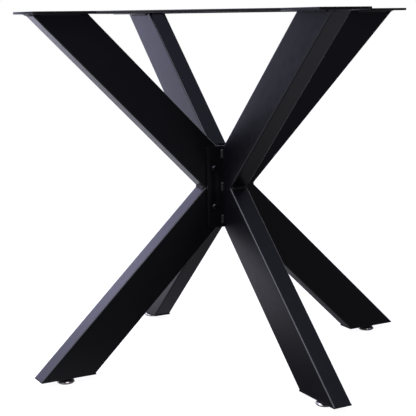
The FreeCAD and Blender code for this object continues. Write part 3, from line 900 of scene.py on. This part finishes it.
def studio_world():
    """White to the camera; to the object a dim studio with white paper behind and a broad pale wall at the
    back left, which is darker low down."""
    world = bpy.data.worlds.new("soft_studio")
    world.use_nodes = True
    tree = world.node_tree
    tree.nodes.clear()
    ray = add_node(tree, "ShaderNodeTexCoord").outputs["Generated"]
    rise = add_node(tree, "ShaderNodeVectorMath", {0: ray, 1: UPWARDS}, operation="DOT_PRODUCT")
    to_wall = add_node(tree, "ShaderNodeVectorMath", {0: ray, 1: WALL_WAY}, operation="DOT_PRODUCT")
    to_paper = add_node(tree, "ShaderNodeVectorMath", {0: ray, 1: PAPER_WAY}, operation="DOT_PRODUCT")
    low_down = add_node(tree, "ShaderNodeMapRange", {
        "Value": rise.outputs["Value"], "From Min": 0.05, "From Max": 0.35, "To Min": 0.12, "To Max": 1.0})
    wall = add_node(tree, "ShaderNodeMapRange", {
        "Value": to_wall.outputs["Value"], "From Min": 0.35, "From Max": 0.95,
        "To Min": 0.0, "To Max": low_down.outputs["Result"]}, interpolation_type="SMOOTHSTEP")
    paper = add_node(tree, "ShaderNodeMapRange", {
        "Value": to_paper.outputs["Value"], "From Min": 0.85, "From Max": 0.97,
        "To Min": 0.0, "To Max": 1.0}, interpolation_type="SMOOTHSTEP")
    ceiling = add_node(tree, "ShaderNodeMapRange", {
        "Value": rise.outputs["Value"], "From Min": 0.2, "From Max": 1.0, "To Min": 0.12, "To Max": 0.25})
    dim = add_node(tree, "ShaderNodeBackground", {
        "Color": ROOM_COLOUR, "Strength": ceiling.outputs["Result"]})
    bright = add_node(tree, "ShaderNodeBackground", {"Color": WALL_COLOUR, "Strength": 1.3})
    room = add_node(tree, "ShaderNodeMixShader", {
        "Fac": wall.outputs["Result"], 1: dim.outputs["Background"], 2: bright.outputs["Background"]})
    white = add_node(tree, "ShaderNodeBackground", {"Color": WHITE, "Strength": 1.0})
    room = add_node(tree, "ShaderNodeMixShader", {
        "Fac": paper.outputs["Result"], 1: room.outputs["Shader"], 2: white.outputs["Background"]})
    path = add_node(tree, "ShaderNodeLightPath")
    mix = add_node(tree, "ShaderNodeMixShader", {
        "Fac": path.outputs["Is Camera Ray"], 1: room.outputs["Shader"], 2: white.outputs["Background"]})
    add_node(tree, "ShaderNodeOutputWorld", {"Surface": mix.outputs["Shader"]})
    return world


def add_softbox(name, place, target, size, power, colour):
    """A softbox that faces its target, seen by the object alone."""
    softbox = bpy.data.lights.new(name, "AREA")
    softbox.shape = "RECTANGLE"
    softbox.size, softbox.size_y = size
    softbox.energy = power
    softbox.color = colour
    lamp = bpy.data.objects.new(name, softbox)
    lamp.location = place
    lamp.rotation_euler = (Vector(target) - Vector(place)).to_track_quat("-Z", "Y").to_euler()
    lamp.visible_camera = False
    bpy.context.scene.collection.objects.link(lamp)


class TABLEBASE_OT_stage(bpy.types.Operator):
    """Set up the floor, the studio light and the camera"""
    bl_idname = "table_base.stage"
    bl_label = "Stage"

    def execute(self, context):
        scene = context.scene
        stage = scene.table_base_stage
        scene.view_settings.view_transform = "Standard"
        bm = bmesh.new()
        bmesh.ops.create_grid(bm, x_segments=1, y_segments=1, size=stage.floor_size / 2)
        mesh = bpy.data.meshes.new("studio_floor")
        bm.to_mesh(mesh)
        bm.free()
        mesh.materials.append(studio_floor_material())
        floor = bpy.data.objects.new("studio_floor", mesh)
        scene.collection.objects.link(floor)
        scene.world = studio_world()

        for light, (name, target, colour) in SOFTBOXES.items():
            place, size, power = (getattr(stage, f"{light}_{value}") for value in ("place", "size", "power"))
            add_softbox(name, place, target, size, power, colour)

        lens = bpy.data.cameras.new("photo_camera")
        lens.sensor_width = SENSOR_WIDTH
        lens.lens = stage.focal_pixels * SENSOR_WIDTH / PHOTO_WIDTH
        lens.clip_end = 100.0
        camera = bpy.data.objects.new("photo_camera", lens)
        heading = Matrix.Rotation(stage.camera_heading, 4, "Z")
        pitch = Matrix.Rotation(math.pi / 2 + stage.camera_pitch, 4, "X")
        roll = Matrix.Rotation(stage.camera_roll, 4, "Z")
        camera.matrix_world = Matrix.Translation(stage.camera_place) @ (heading @ pitch @ roll)
        scene.collection.objects.link(camera)
        scene.camera = camera
        return {"FINISHED"}


class TABLEBASE_PT_panel(bpy.types.Panel):
    """The steps of the table base, in the order in which they run"""
    bl_label = "Table base"
    bl_space_type = "VIEW_3D"
    bl_region_type = "UI"
    bl_category = "Table base"

    def draw(self, context):
        for group in (getattr(context.scene, name) for name in GROUPS):
            column = self.layout.column()
            for name in group.__annotations__:
                column.prop(group, name)
        for step in STEPS:
            self.layout.operator(step.bl_idname)


STEPS = (
    TABLEBASE_OT_tubes,
    TABLEBASE_OT_hub_plates,
    TABLEBASE_OT_hub_bolts,
    TABLEBASE_OT_hub_welds,
    TABLEBASE_OT_waist_welds,
    TABLEBASE_OT_top_welds,
    TABLEBASE_OT_top_plates,
    TABLEBASE_OT_top_rails,
    TABLEBASE_OT_foot_caps,
    TABLEBASE_OT_glides,
    TABLEBASE_OT_stage,
)
GROUPS = {
    "table_base_sizes": TableBaseSizes,
    "table_base_looks": TableBaseLooks,
    "table_base_stage": TableBaseStage,
}


def register():
    for name, group in GROUPS.items():
        bpy.utils.register_class(group)
        setattr(bpy.types.Scene, name, bpy.props.PointerProperty(type=group))
    for step in STEPS:
        bpy.utils.register_class(step)
    bpy.utils.register_class(TABLEBASE_PT_panel)


def unregister():
    bpy.utils.unregister_class(TABLEBASE_PT_panel)
    for step in reversed(STEPS):
        bpy.utils.unregister_class(step)
    for name, group in GROUPS.items():
        delattr(bpy.types.Scene, name)
        bpy.utils.unregister_class(group)


def main():
    register()
    for step in STEPS:
        group, name = step.bl_idname.split(".")
        getattr(getattr(bpy.ops, group), name)()


if __name__ == "__main__":
    main()
